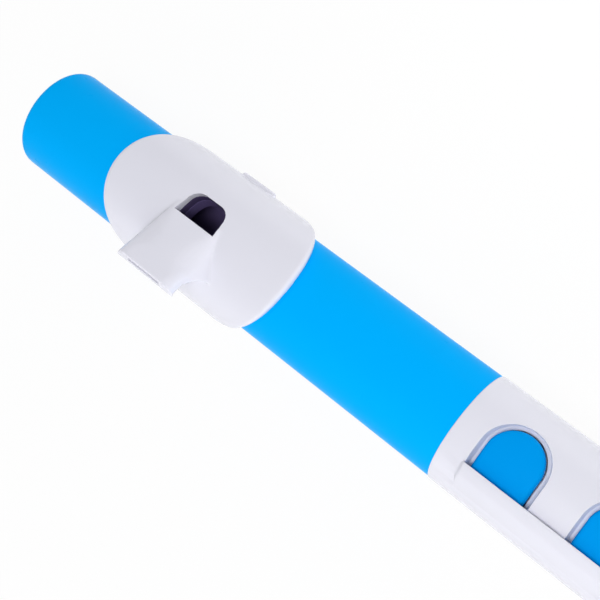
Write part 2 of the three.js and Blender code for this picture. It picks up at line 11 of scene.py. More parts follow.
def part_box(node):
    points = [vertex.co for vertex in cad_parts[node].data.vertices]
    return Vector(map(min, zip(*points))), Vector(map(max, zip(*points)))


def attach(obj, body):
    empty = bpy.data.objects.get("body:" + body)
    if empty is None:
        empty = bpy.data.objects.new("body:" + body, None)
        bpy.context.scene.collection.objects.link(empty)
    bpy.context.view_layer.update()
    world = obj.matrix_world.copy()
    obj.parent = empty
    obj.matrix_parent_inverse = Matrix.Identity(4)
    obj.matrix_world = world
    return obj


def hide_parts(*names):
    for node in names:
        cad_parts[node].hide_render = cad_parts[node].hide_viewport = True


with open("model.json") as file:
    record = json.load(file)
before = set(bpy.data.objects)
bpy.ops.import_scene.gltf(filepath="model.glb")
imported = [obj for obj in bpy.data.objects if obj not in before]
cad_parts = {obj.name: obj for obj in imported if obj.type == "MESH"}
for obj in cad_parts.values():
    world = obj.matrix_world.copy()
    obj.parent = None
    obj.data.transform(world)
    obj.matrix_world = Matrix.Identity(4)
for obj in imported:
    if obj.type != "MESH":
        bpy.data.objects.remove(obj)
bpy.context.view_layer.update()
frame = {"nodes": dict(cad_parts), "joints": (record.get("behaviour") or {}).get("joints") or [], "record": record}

# Places from the frame, with small shifts to where the seam, plate, spout and window are seen
MM = 0.001
SEAM_LEAD = 0.12
PLATE_SHIFT = -0.65
SPOUT_SHIFT = -0.25
WINDOW_SHIFT = 0.2
head_low, head_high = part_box("head_tube")
crown_x = head_low.x
axis_z = (head_low.z + head_high.z) / 2
joints = {joint["name"]: joint for joint in frame["joints"]}


def from_crown(metres):
    return (metres - crown_x) / MM


HEAD_LENGTH = from_crown(head_high.x)
BODY_END = from_crown(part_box("body_core")[1].x)
COVER_START = from_crown(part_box("upper_cover")[0].x)
SEAM_X = COVER_START - SEAM_LEAD
COVER_END = from_crown(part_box("upper_cover")[1].x)
PLATE_X = from_crown(sum(corner.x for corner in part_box("lip_plate")) / 2) + PLATE_SHIFT
SPOUT_X = PLATE_X + SPOUT_SHIFT
WINDOW_X = SPOUT_X + WINDOW_SHIFT
TENON_START = from_crown(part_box("body_core")[0].x)
LEFT_HAND = ["left_index", "left_middle", "left_ring"]
RIGHT_HAND = ["right_index", "right_middle", "right_ring", "right_little"]
THUMB = ["left_thumb"]
KEY_X = {
    finger: from_crown(joints[f"{finger}_press"]["pos_m"][0])
    for finger in [*LEFT_HAND, *RIGHT_HAND, *THUMB]
}
HINGE_Y = joints["left_index_press"]["pos_m"][1] / MM
HINGE_Z = (joints["left_index_press"]["pos_m"][2] - axis_z) / MM

# Radii and walls of the tubes
HEAD_RADIUS = 12.5
HEAD_INSIDE = 10.3
BODY_RADIUS = 12.7
COVER_INSIDE = 11.3
SEAT_RADIUS = 11.0
CORE_RADIUS = 7.8
COLLAR_RADIUS = 10.0
BORE_RADIUS = 6.5
CROWN_ROUND = 1.6
CROWN_CHAMFER = 0.4
FOOT_ROUND = 1.2
FOOT_LENGTH = 6
SHOULDER_LENGTH = 4
EDGE_ROUND = 0.3
COVER_ROUND = 0.2
SEAM_GAP = 0.04
BORE_ROUND = 0.5
COLLAR_LENGTH = 6
BOSS_MARGIN = 2.3
TENON_CHAMFER = 0.4
TENON_GROOVES = (7, 14)
GROOVE_HALF = 0.97
GROOVE_RADIUS = 8.36
SEAL_RADIUS = 9.33
SEAL_SECTION = 0.85
SEAL_SECTION_SIDES = 24
SEAL_PRESSED_FROM = 9.9
SEAL_SQUEEZE = 0.998
SEAL_SPREAD = 1.25

# Crown plug: a shallow dish in front and a stem behind, with a pinhole along the axis
PLUG_DISH_DEPTH = 0.6
PLUG_DISH_KNEE = (0.35, 6.5)
PLUG_DISH_RADIUS = 7.6
PLUG_ROUND = 0.5
PLUG_LIP = 8
PLUG_STEM = 4.5
PLUG_PINHOLE = 0.02

# Blow hole and lip plate
WINDOW_HALF = 5.15
WINDOW_NEAR_HALF = 5.6
WINDOW_DEPTH = 5.65
WINDOW_FRONT = -0.55
WINDOW_CORNER = 3
RISER_WALL = 1.5
RISER_GAP = 0.3
PLATE_INSIDE = 12.8
PLATE_RADIUS = 14.7
PLATE_HALF_LENGTH = 25.4
PLATE_HALF_ANGLE = 100
PLATE_TURN = -3.5
STRAP_HALF_WIDTH = 12
PLATE_EDGE_ROUND = 0.9
PLATE_STEP = 2.5
SPOUT_ROOT_HALF = 6.3
SPOUT_TIP_HALF = 7.15
SPOUT_FLARE = 0.5
SPOUT_ROUND_ACROSS = 4.6
SPOUT_ROUND_DOWN = 2.4
SPOUT_ROOT_Z = 15.4
SPOUT_REACH = 14.4
SPOUT_CLIMB = 5.2
SPOUT_TIP = 2.4
SPOUT_TIP_LEAN = 1.2
ARCH_FOOT = 8.9
WINDWAY_HALF = 4.5
WINDWAY_HEIGHT = 0.9
WINDWAY_ROOF = 0.7
RIB_ANGLE = -80
RIB_SHIFT = 0.95
RIB_SIZE = (9.6, 1.2, 1.7)
RIB_ROUND = 0.5
RIB_ROUND_STEPS = 4
MOULD_GRAIN = 0.22
MOULD_SMOOTHING = 8
MOULD_SOFTENING = 0.5
MOST_TRIANGLES = 180000

# Keys and the covers' openings
KEY_HALF = 6.05
KEY_BACK = 6.2
KEY_TOP = 12.15
KEY_ARCH = 20
KEY_LEAN = 3.5
KEY_THICKNESS = 1.9
KEY_ROUND = 0.8
KEY_ROUND_STEPS = 5
KEY_SHIFT = -0.08
KEY_DRAW_BACK = 0.1
KEY_TRAVEL = 8
CUP_RADIUS = 4.9
CUP_INSIDE = 4.4
CUP_RIM = 8.3
CUP_ROOF = 9.2
ARM_ANGLE = 33
ARM_DROP = 0.3
OPENING_HALF = 6.2
OPENING_BACK_ROOM = 1
OPENING_REACH = 3
RIM_WIDTH = 1.15
RIM_DEPTH = 2.5
RIM_LEDGE = 0.62
RIM_FILLET = 0.15
RIM_FILLET_END = -30
RIM_DRAFT = 0.05
THICK_WALL_INSIDE = 9.9
BARREL_RADIUS = 1.35
BARREL_HALF = 5.6
ROD_BORE_RADIUS = 0.75
SPLIT_GAP = 0.15
PAD_Y = -0.5
TONE_HOLE_RADIUS = 3.2
CHIMNEY_RADIUS = 4.6
CHIMNEY_ROOT = 1.2
SEAT_Z = 7.85

# Hoods over the hinges: from the corner by the keys over the ridge to the foot on the player's side
HOOD_RISE = 1.2
HOOD_INNER_ANGLE = 23.9
HOOD_UNDERSIDE = 13.0
HOOD_CORNER = 0.2
HOOD_CORNER_SHARE = 0.3
HOOD_RIDGE_ANGLE = 35.5
HOOD_SHOULDER_TURN = 2.5
HOOD_SHOULDER_DROP = 0.02
HOOD_FOOT_LEAD = 3
HOOD_FOOT_RISE = 0.05
HOOD_FOOT_TAIL = 2
HOOD_FOOT_SINK = 0.08
HOOD_OVERLAP = 0.15
HOOD_LEAD = 8.1
HOOD_TAIL = 13.5
HOOD_RAMP = 1.2
HOOD_SINK = 1.45

# The room: heights and greys of its walls, as they light the flute and as they are mirrored in it
WALLS = ((0.1, 0.68), (0.95, 0.34))
MIRRORED_WALLS = ((0.05, 1), (0.4, 0.02))
END_DARKNESS = 0.3  # how much darker it is past the flute's ends than along its sides
FLOOR_SIZE = 6
FLOOR_GREY = 0.9
FLOOR_GLOW = 0.94

# The photograph's camera, in degrees, millimetres of lens and film, and metres in the frame
CAMERA_TIP = 20.97
CAMERA_ROLL = 37.28
CAMERA_LENS = 69
CAMERA_FILM = 36
CAMERA_PLACE = (-0.0041, 0, 0.2462)
CAMERA_CLIP = 0.005

# Fineness of round forms
SIDES = 160
FINE_SIDES = 48
ARC_STEPS = 6
SLICE = 0.45
ROW_DIGITS = 2
MERGE_DISTANCE = 0.004
ON_TOP = 0.01
SMOOTH_ANGLE = 35
PLATE_SMOOTH_ANGLE = 50


def place(x, y, z):
    """A point in millimetres from the crown, as metres in the frame."""
    return Vector((crown_x + x * MM, y * MM, axis_z + z * MM))


def polar(angle, radius):
    """Where (y, z) is at an angle from the top towards the player."""
    turn = math.radians(angle)
    return -radius * math.sin(turn), radius * math.cos(turn)


def arc(centre_a, centre_b, radius, start, end, steps=ARC_STEPS):
    """Points on a round stretch, from one angle to another."""
    turns = [math.radians(start + (end - start) * i / steps) for i in range(steps + 1)]
    return [(centre_a + radius * math.cos(t), centre_b + radius * math.sin(t)) for t in turns]


# Modelling by hand


def edit(piece):
    """Only this piece is selected, and it is in edit mode with its vertices to pick."""
    if bpy.context.mode != "OBJECT":
        bpy.ops.object.mode_set(mode="OBJECT")
    bpy.ops.object.select_all(action="DESELECT")
    piece.select_set(True)
    bpy.context.view_layer.objects.active = piece
    bpy.ops.object.mode_set(mode="EDIT")
    bpy.ops.mesh.select_mode(type="VERT")


def rest():
    """Back to object mode."""
    bpy.ops.object.mode_set(mode="OBJECT")


def spot(vertex):
    """Where a vertex is, in millimetres from the crown."""
    return (vertex.co - place(0, 0, 0)) / MM


def pick(piece, wanted, edges=False):
    """Selects the vertices, or whole edges, of a piece in edit mode whose places are wanted."""
    bpy.ops.mesh.select_mode(type="VERT")
    bpy.ops.mesh.select_all(action="DESELECT")
    rest()
    for vertex in piece.data.vertices:
        vertex.select = wanted(spot(vertex))
    bpy.ops.object.mode_set(mode="EDIT")
    if edges:
        bpy.ops.mesh.select_mode(type="EDGE")


def named(name):
    """Names the new primitive and puts its place into its mesh."""
    piece = bpy.context.object
    piece.name = name
    bpy.ops.object.transform_apply(location=True, rotation=True, scale=True)
    return piece


def close_up():
    """Merges doubled points of the piece in edit mode and turns its faces outwards."""
    bpy.ops.mesh.select_all(action="SELECT")
    bpy.ops.mesh.remove_doubles(threshold=MERGE_DISTANCE * MM)
    bpy.ops.mesh.normals_make_consistent(inside=False)
    rest()


def turned(name, profile, sides=SIDES):
    """A ring-shaped piece turned about the bore's axis from a closed profile of (x, radius)."""
    x, radius = profile[0]
    bpy.ops.object.select_all(action="DESELECT")
    bpy.ops.mesh.primitive_circle_add(
        vertices=sides, radius=radius * MM, location=place(x, 0, 0), rotation=(0, math.pi / 2, 0)
    )
    piece = named(name)
    edit(piece)
    bpy.ops.mesh.select_all(action="SELECT")
    for (x, radius), (next_x, next_radius) in zip(profile, [*profile[1:], profile[0]]):
        bpy.ops.mesh.extrude_region_move(TRANSFORM_OT_translate={"value": ((next_x - x) * MM, 0, 0)})
        grow = next_radius / radius
        bpy.ops.transform.resize(value=(1, grow, grow), center_override=place(next_x, 0, 0))
    close_up()
    return piece


def outline(name, points):
    """A face whose rim runs through the points, drawn by extruding one vertex."""
    bpy.ops.object.select_all(action="DESELECT")
    bpy.ops.mesh.primitive_plane_add(size=MM, location=points[0])
    piece = named(name)
    edit(piece)
    bpy.ops.mesh.select_all(action="SELECT")
    bpy.ops.mesh.merge(type="CENTER")
    for point, following in zip(points, points[1:]):
        bpy.ops.mesh.extrude_vertices_move(TRANSFORM_OT_translate={"value": following - point})
    bpy.ops.mesh.select_all(action="SELECT")
    bpy.ops.mesh.edge_face_add()
    return piece


def extrude(along):
    """Extrudes what is selected along a vector in millimetres."""
    bpy.ops.mesh.extrude_region_move(TRANSFORM_OT_translate={"value": Vector(along) * MM})


def draw_loop(points):
    """Adds a closed loop of edges to the piece in edit mode."""
    bpy.ops.mesh.primitive_plane_add(size=MM, location=points[0])
    bpy.ops.mesh.merge(type="CENTER")
    for point, following in zip(points, [*points[1:], points[0]]):
        bpy.ops.mesh.extrude_vertices_move(TRANSFORM_OT_translate={"value": following - point})


def loft(name, rings):
    """A solid through a row of closed rings, with a face at each end."""
    bpy.ops.object.select_all(action="DESELECT")
    bpy.ops.mesh.primitive_plane_add(size=MM, location=rings[0][0])
    piece = named(name)
    edit(piece)
    bpy.ops.mesh.select_all(action="SELECT")
    bpy.ops.mesh.delete(type="VERT")
    for ring in rings:
        draw_loop(ring)
    bpy.ops.mesh.select_all(action="SELECT")
    bpy.ops.mesh.remove_doubles(threshold=MERGE_DISTANCE * MM)
    bpy.ops.mesh.bridge_edge_loops()
    bpy.ops.mesh.select_all(action="SELECT")
    bpy.ops.mesh.fill_holes(sides=0)
    close_up()
    return piece


def bar_along_x(name, section, start, end):
    """A bar with a section of (y, z) points."""
    piece = outline(name, [place(start, y, z) for y, z in section])
    extrude((end - start, 0, 0))
    close_up()
    return piece


def prism_up(name, plan, bottom, top):
    """An upright prism with a plan of (x, y) points."""
    piece = outline(name, [place(x, y, bottom) for x, y in plan])
    extrude((0, 0, top - bottom))
    close_up()
    return piece


def round_bar(name, centre, radius, length, axis, sides=FINE_SIDES):
    """A round bar along X or Z about its centre."""
    turn = (0, math.pi / 2, 0) if axis == "X" else (0, 0, 0)
    bpy.ops.object.select_all(action="DESELECT")
    bpy.ops.mesh.primitive_cylinder_add(
        vertices=sides, radius=radius * MM, depth=length * MM, location=centre, rotation=turn
    )
    return named(name)


def carve(piece, tool, operation="DIFFERENCE"):
    """Cuts, joins or trims a piece with another one, which is used up."""
    change = piece.modifiers.new("carve", "BOOLEAN")
    change.object = tool
    change.operation = operation
    change.solver = "EXACT"
    bpy.context.view_layer.objects.active = piece
    bpy.ops.object.modifier_apply(modifier=change.name)
    bpy.data.objects.remove(tool)
    return piece


def twin(piece):
    """A copy with its own mesh."""
    copy = piece.copy()
    copy.data = piece.data.copy()
    bpy.context.scene.collection.objects.link(copy)
    return copy


def shift(piece, x, turn=0.0):
    """Moves a piece along the flute, and turns it about the bore's axis, inside its mesh."""
    edit(piece)
    bpy.ops.mesh.select_all(action="SELECT")
    bpy.ops.transform.translate(value=(x * MM, 0, 0))
    if turn:
        bpy.ops.transform.rotate(value=-turn, orient_axis="X", center_override=place(0, 0, 0))
    rest()
    return piece


def lay_on_round(piece, radius):
    """Slices a flat piece along the flute and lets each row of points down on a round of that radius."""
    low = min(spot(v).y for v in piece.data.vertices)
    high = max(spot(v).y for v in piece.data.vertices)
    edit(piece)
    for i in range(1, int((high - low) / SLICE)):
        bpy.ops.mesh.select_all(action="SELECT")
        bpy.ops.mesh.bisect(plane_co=place(0, low + i * SLICE, 0), plane_no=(0, 1, 0))
    rest()
    rows = sorted({round(spot(v).y, ROW_DIGITS) for v in piece.data.vertices})
    edit(piece)
    for row in rows:
        pick(piece, lambda p: round(p.y, ROW_DIGITS) == row)
        bpy.ops.transform.translate(value=(0, 0, (math.sqrt(radius**2 - row**2) - radius) * MM))
    rest()
    return piece


def moulded(piece, grain):
    """Fuses overlapping solids into one skin and softens every edge, as a mould does."""
    bpy.ops.object.select_all(action="DESELECT")
    piece.select_set(True)
    bpy.context.view_layer.objects.active = piece
    fuse = piece.modifiers.new("fuse", "REMESH")
    fuse.mode = "VOXEL"
    fuse.voxel_size = grain * MM
    bpy.ops.object.modifier_apply(modifier=fuse.name)
    soften = piece.modifiers.new("soften", "SMOOTH")
    soften.factor = MOULD_SOFTENING
    soften.iterations = MOULD_SMOOTHING
    bpy.ops.object.modifier_apply(modifier=soften.name)
    triangles = sum(len(face.vertices) - 2 for face in piece.data.polygons)
    if triangles > MOST_TRIANGLES:
        thin = piece.modifiers.new("thin", "DECIMATE")
        thin.ratio = MOST_TRIANGLES / triangles
        bpy.ops.object.modifier_apply(modifier=thin.name)
    return piece


def dress(piece, finish, body, nodes, angle=SMOOTH_ANGLE):
    """Smooths a piece, gives it its finish and puts it on its body in place of CAD nodes."""
    bpy.ops.object.select_all(action="DESELECT")
    piece.select_set(True)
    bpy.context.view_layer.objects.active = piece
    bpy.ops.object.shade_smooth_by_angle(angle=math.radians(angle))
    piece.data.materials.clear()
    piece.data.materials.append(finish)
    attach(piece, body)
    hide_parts(*nodes)
    return piece


# Finishes


class Value:
    """A socket of a shader tree. Sums on it add Math nodes."""

    def __init__(self, tree, socket):
        self.tree = tree
        self.socket = socket

    def sum(self, operation, first, second):
        return self.tree.node("ShaderNodeMath", {"operation": operation}, [first, second])

    def __add__(self, other):
        return self.sum("ADD", self, other)

    def __radd__(self, other):
        return self.sum("ADD", other, self)

    def __sub__(self, other):
        return self.sum("SUBTRACT", self, other)

    def __rsub__(self, other):
        return self.sum("SUBTRACT", other, self)

    def __mul__(self, other):
        return self.sum("MULTIPLY", self, other)

    def __rmul__(self, other):
        return self.sum("MULTIPLY", other, self)


class Tree:
    """A node tree that is filled by one method."""

    def __init__(self, owner):
        owner.use_nodes = True
        self.nodes = owner.node_tree.nodes
        self.links = owner.node_tree.links
        self.nodes.clear()

    def node(self, kind, settings, sockets, output=0):
        """Adds a node: its settings first, then the values or links of its sockets, by name or in order."""
        node = self.nodes.new(kind)
        for name, setting in settings.items():
            if name == "stops":
                for stop, (at, colour) in zip(node.color_ramp.elements, setting):
                    stop.position = at
                    stop.color = colour
            else:
                setattr(node, name, setting)
        pairs = sockets.items() if isinstance(sockets, dict) else enumerate(sockets)
        for name, value in pairs:
            if isinstance(value, Value):
                self.links.new(value.socket, node.inputs[name])
            else:
                node.inputs[name].default_value = value
        return Value(self, node.outputs[output]) if len(node.outputs) else node


def linear(red, green, blue):
    """A screen colour of 0 to 255 as a shader colour."""
    def channel(c):
        c /= 255
        return c / 12.92 if c <= 0.04045 else ((c + 0.055) / 1.055) ** 2.4
    return (channel(red), channel(green), channel(blue), 1)


def grey(level):
    """A grey of 0 to 1 as a shader colour."""
    return (level, level, level, 1)


def plastic(name, colour, shade, roughness, spread, grain, bump, shine):
    """Moulded plastic: a slow drift of colour, a polish that varies and a fine grain."""
    material = bpy.data.materials.new(name)
    tree = Tree(material)
    where = tree.node("ShaderNodeTexCoord", {}, {}, "Object")
    drift = tree.node("ShaderNodeTexNoise", {}, {"Vector": where, "Scale": 35, "Detail": 3})
    polish = tree.node("ShaderNodeTexNoise", {}, {"Vector": where, "Scale": 420, "Detail": 4})
    fine = tree.node("ShaderNodeTexNoise", {}, {"Vector": where, "Scale": grain, "Detail": 2})
    tint = tree.node(
        "ShaderNodeMix", {"data_type": "RGBA"}, {"Factor": drift, "A": shade, "B": colour}, "Result"
    )
    relief = tree.node(
        "ShaderNodeBump", {}, {"Strength": bump, "Distance": 0.02 * MM, "Height": fine}
    )
    shader = tree.node(
        "ShaderNodeBsdfPrincipled",
        {},
        {
            "Base Color": tint,
            "Roughness": roughness + spread * (polish - 0.5),
            "Normal": relief,
            "Specular IOR Level": shine,
        },
    )
    tree.node("ShaderNodeOutputMaterial", {}, {"Surface": shader})
    return material


def drawn_steel(name):
    """Steel wire with faint drawing lines along it."""
    material = bpy.data.materials.new(name)
    tree = Tree(material)
    where = tree.node("ShaderNodeTexCoord", {}, {}, "Object")
    along = tree.node("ShaderNodeMapping", {}, {"Vector": where, "Scale": (60, 4000, 4000)})
    lines = tree.node("ShaderNodeTexNoise", {}, {"Vector": along, "Scale": 1, "Detail": 3})
    tint = tree.node(
        "ShaderNodeMix",
        {"data_type": "RGBA"},
        {"Factor": lines, "A": linear(168, 170, 174), "B": linear(214, 216, 220)},
        "Result",
    )
    shader = tree.node(
        "ShaderNodeBsdfPrincipled", {}, {"Base Color": tint, "Roughness": 0.2 + 0.2 * lines, "Metallic": 1}
    )
    tree.node("ShaderNodeOutputMaterial", {}, {"Surface": shader})
    return material


polished = {"spread": 0.03, "grain": 5200, "bump": 0.04}
satin = {"roughness": 0.28, "shine": 0.012, **polished}
matt = {"roughness": 0.55, "spread": 0.1, "grain": 5200, "bump": 0.15, "shine": 0.3}
soft = {"grain": 2600, "shine": 0.3}
blue_plastic = plastic("blue plastic", linear(0, 174, 253), linear(0, 171, 250), **satin)
# Painted shade: the keys' blue is darker than the head's blue, standing in for the shade in the key wells and
# under the hoods.
key_blue_with_painted_shade = plastic("key blue with painted shade", linear(0, 151, 232), linear(0, 147, 229), **satin)
white_plastic = plastic(
    "white plastic", linear(228, 228, 238), linear(224, 224, 235), roughness=0.2, shine=0.5, **polished
)
# Painted light: the black plastic is set lighter than black, and the liner's copy lighter still, to make up for
# the shade deep in the bore.
black_plastic = plastic("black plastic with painted light", linear(84, 73, 113), linear(77, 67, 104), **matt)
liner_black_with_painted_light = plastic("liner black with painted light", linear(120, 106, 158), linear(112, 99, 149), **matt)
silicone = plastic(
    "silicone", linear(216, 214, 210), linear(206, 204, 200), roughness=0.7, spread=0.1, bump=0.2, **soft
)
rubber = plastic(
    "rubber", linear(28, 28, 31), linear(22, 22, 25), roughness=0.65, spread=0.15, bump=0.25, **soft
)
steel = drawn_steel("drawn steel")


# Head


def window_plan(margin):
    """The blow hole's plan: straight towards the player, round at its far corners."""
    half = WINDOW_HALF + margin
    near = WINDOW_FRONT - margin
    far = WINDOW_DEPTH + margin
    corner = WINDOW_CORNER + margin
    near_half = WINDOW_NEAR_HALF + margin
    plan = [(-near_half, near), (near_half, near)]
    plan += arc(half - corner, far - corner, corner, 0, 90)
    plan += arc(corner - half, far - corner, corner, 90, 180)
    return [(WINDOW_X + x, y) for x, y in plan]


def window_tool(margin):
    return prism_up("window_tool", window_plan(margin), 0, 3 * HEAD_RADIUS)


def make_head_tube():
    end = SEAM_X - SEAM_GAP
    profile = [(CROWN_CHAMFER, HEAD_INSIDE), (0, HEAD_INSIDE + CROWN_CHAMFER)]
    profile += arc(CROWN_ROUND, HEAD_RADIUS - CROWN_ROUND, CROWN_ROUND, 180, 90)
    profile += [(end, HEAD_RADIUS), (end, HEAD_INSIDE + EDGE_ROUND), (end - EDGE_ROUND, HEAD_INSIDE)]
    tube = carve(turned("blue_head_tube", profile), window_tool(RISER_WALL + RISER_GAP))
    dress(tube, blue_plastic, "head", ["head_tube"])


def make_crown_plug():
    length = from_crown(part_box("end_plug")[1].x)
    profile = [(PLUG_DISH_DEPTH, PLUG_PINHOLE), PLUG_DISH_KNEE, (0, PLUG_DISH_RADIUS)]
    profile += arc(PLUG_ROUND, COLLAR_RADIUS - PLUG_ROUND, PLUG_ROUND, 180, 90)
    profile += [(PLUG_LIP, COLLAR_RADIUS), (PLUG_LIP, PLUG_STEM)]
    profile += [(length, PLUG_STEM), (length, PLUG_PINHOLE)]
    dress(turned("crown_plug", profile), blue_plastic, "head", ["end_plug"])


def make_head_liner():
    low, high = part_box("head_core")
    start, end = from_crown(low.x), from_crown(high.x)
    boss = WINDOW_NEAR_HALF + RISER_WALL + BOSS_MARGIN
    profile = [
        (start, BORE_RADIUS),
        (start, COLLAR_RADIUS),
        (start + COLLAR_LENGTH, COLLAR_RADIUS),
        (start + COLLAR_LENGTH, CORE_RADIUS),
        (WINDOW_X - boss, CORE_RADIUS),
        (WINDOW_X - boss, COLLAR_RADIUS),
        (WINDOW_X + boss, COLLAR_RADIUS),
        (WINDOW_X + boss, CORE_RADIUS),
        (end - COLLAR_LENGTH, CORE_RADIUS),
        (end - COLLAR_LENGTH, COLLAR_RADIUS),
        (end, COLLAR_RADIUS),
        (end, BORE_RADIUS),
    ]
    liner = carve(turned("head_liner", profile), window_tool(0))
    dress(liner, liner_black_with_painted_light, "head", ["head_core"])


def make_blow_hole_wall():
    wall = window_tool(RISER_WALL)
    wall.name = "blow_hole_wall"
    carve(wall, window_tool(0))
    ring = [(0, HEAD_INSIDE), (0, HEAD_RADIUS), (HEAD_LENGTH, HEAD_RADIUS), (HEAD_LENGTH, HEAD_INSIDE)]
    carve(wall, turned("tube_wall", ring), "INTERSECT")
    dress(wall, black_plastic, "head", ["embouchure_riser"])


# Lip plate


def plate_half_length(angle):
    """Half the plate's length at an angle round the tube."""
    from_middle = (angle - PLATE_TURN + 180) % 360 - 180
    share = min(abs(from_middle) / PLATE_HALF_ANGLE, 1)
    return max(PLATE_HALF_LENGTH * math.sqrt(1 - share**2), STRAP_HALF_WIDTH)


def make_plate_sleeve():
    """The oval sleeve: its section is drawn on top and carried round the tube, narrowing to the strap."""
    half = plate_half_length(0)
    section = [(-half, PLATE_INSIDE), (half, PLATE_INSIDE)]
    section += arc(half - PLATE_EDGE_ROUND, PLATE_RADIUS - PLATE_EDGE_ROUND, PLATE_EDGE_ROUND, 0, 90)
    section += arc(PLATE_EDGE_ROUND - half, PLATE_RADIUS - PLATE_EDGE_ROUND, PLATE_EDGE_ROUND, 90, 180)
    sleeve = outline("moulded_lip_plate", [place(PLATE_X + x, 0, r) for x, r in section])
    bpy.ops.mesh.delete(type="ONLY_FACE")
    bpy.ops.mesh.select_all(action="SELECT")
    for i in range(round(360 / PLATE_STEP)):
        angle = i * PLATE_STEP
        following = angle + PLATE_STEP
        bpy.ops.mesh.extrude_region_move()
        bpy.ops.transform.rotate(
            value=-math.radians(PLATE_STEP), orient_axis="X", center_override=place(PLATE_X, 0, 0)
        )
        grow = plate_half_length(following) / plate_half_length(angle)
        bpy.ops.transform.resize(value=(grow, 1, 1), center_override=place(PLATE_X, 0, 0))
    close_up()
    return sleeve


def spout_ring(top, bottom):
    """A slice of the spout: round at its upper corners and spreading towards its foot."""
    half = SPOUT_ROOT_HALF + (SPOUT_TIP_HALF - SPOUT_ROOT_HALF) * max(-top[0], 0) / SPOUT_REACH
    height = top[1] - bottom[1]
    down = min(SPOUT_ROUND_DOWN, 0.5 * height)
    across = SPOUT_ROUND_ACROSS * down / SPOUT_ROUND_DOWN
    corner = []
    for cosine, sine in arc(0, 0, 1, 0, 90):
        depth = down * (1 - sine)
        corner.append((half - across * (1 - cosine) + SPOUT_FLARE * depth, depth))
    right = [(half + SPOUT_FLARE * height, height), *corner]
    section = [*right, *((-x, depth) for x, depth in reversed(right))]
    lean = (bottom[0] - top[0]) / height
    return [place(SPOUT_X + x, top[0] + lean * depth, top[1] - depth) for x, depth in section]


def make_spout():
    """The spout: slices from inside the plate to the leaning tip, hollowed below for the chin."""
    slope = SPOUT_CLIMB / SPOUT_REACH
    inside = (PLATE_INSIDE + PLATE_RADIUS) / 2
    foot_z = math.sqrt(inside**2 - ARCH_FOOT**2)
    lip_y = -SPOUT_REACH - SPOUT_TIP_LEAN
    lip_z = SPOUT_ROOT_Z + SPOUT_CLIMB - SPOUT_TIP
    rings = []
    for y in [WINDOW_DEPTH / 4 - ARCH_FOOT * i / ARC_STEPS for i in range(ARC_STEPS)]:
        rings.append(spout_ring((y, SPOUT_ROOT_Z - y * slope), (y, math.sqrt(inside**2 - y**2))))
    for i in range(2 * ARC_STEPS + 1):
        turn = math.pi / 2 * i / (2 * ARC_STEPS)
        share = 1 - math.cos(turn)
        y = -ARCH_FOOT - (SPOUT_REACH - ARCH_FOOT) * share
        under = (-ARCH_FOOT + (lip_y + ARCH_FOOT) * share, foot_z + (lip_z - foot_z) * math.sin(turn))
        rings.append(spout_ring((y, SPOUT_ROOT_Z - y * slope), under))
    return loft("spout", rings)


def make_windway_tool():
    slope = math.atan2(SPOUT_CLIMB, SPOUT_REACH)
    length = 2 * SPOUT_REACH
    bpy.ops.object.select_all(action="DESELECT")
    bpy.ops.mesh.primitive_cube_add(size=1)
    tool = bpy.context.object
    tool.scale = (2 * WINDWAY_HALF * MM, length * MM, WINDWAY_HEIGHT * MM)
    tool.location = (0, (WINDOW_DEPTH - length) / 2 * MM, -(WINDWAY_ROOF + WINDWAY_HEIGHT / 2) * MM)
    named("windway_tool")
    tool.rotation_euler = (-slope, 0, 0)
    tool.location = place(SPOUT_X, 0, SPOUT_ROOT_Z)
    return named("windway_tool")


def make_rib():
    """The small raised rib on the plate's far side."""
    bpy.ops.object.select_all(action="DESELECT")
    bpy.ops.mesh.primitive_cube_add(size=1)
    rib = bpy.context.object
    rib.scale = [size * MM for size in RIB_SIZE]
    named("rib")
    edit(rib)
    bpy.ops.mesh.select_all(action="SELECT")
    bpy.ops.mesh.bevel(offset=RIB_ROUND * MM, segments=RIB_ROUND_STEPS, affect="EDGES")
    rest()
    rib.rotation_euler = (math.radians(RIB_ANGLE), 0, 0)
    y, z = polar(RIB_ANGLE, PLATE_RADIUS)
    rib.location = place(SPOUT_X + RIB_SHIFT, y, z)
    return named("rib")


def make_lip_plate():
    plate = make_plate_sleeve()
    spout = make_spout()
    rib = make_rib()
    bpy.ops.object.select_all(action="DESELECT")
    for solid in (spout, rib, plate):
        solid.select_set(True)
    bpy.context.view_layer.objects.active = plate
    bpy.ops.object.join()
    moulded(plate, MOULD_GRAIN)
    carve(plate, window_tool(0))
    carve(plate, make_windway_tool())
    dress(plate, white_plastic, "lip_plate", ["lip_plate"], PLATE_SMOOTH_ANGLE)


# Body


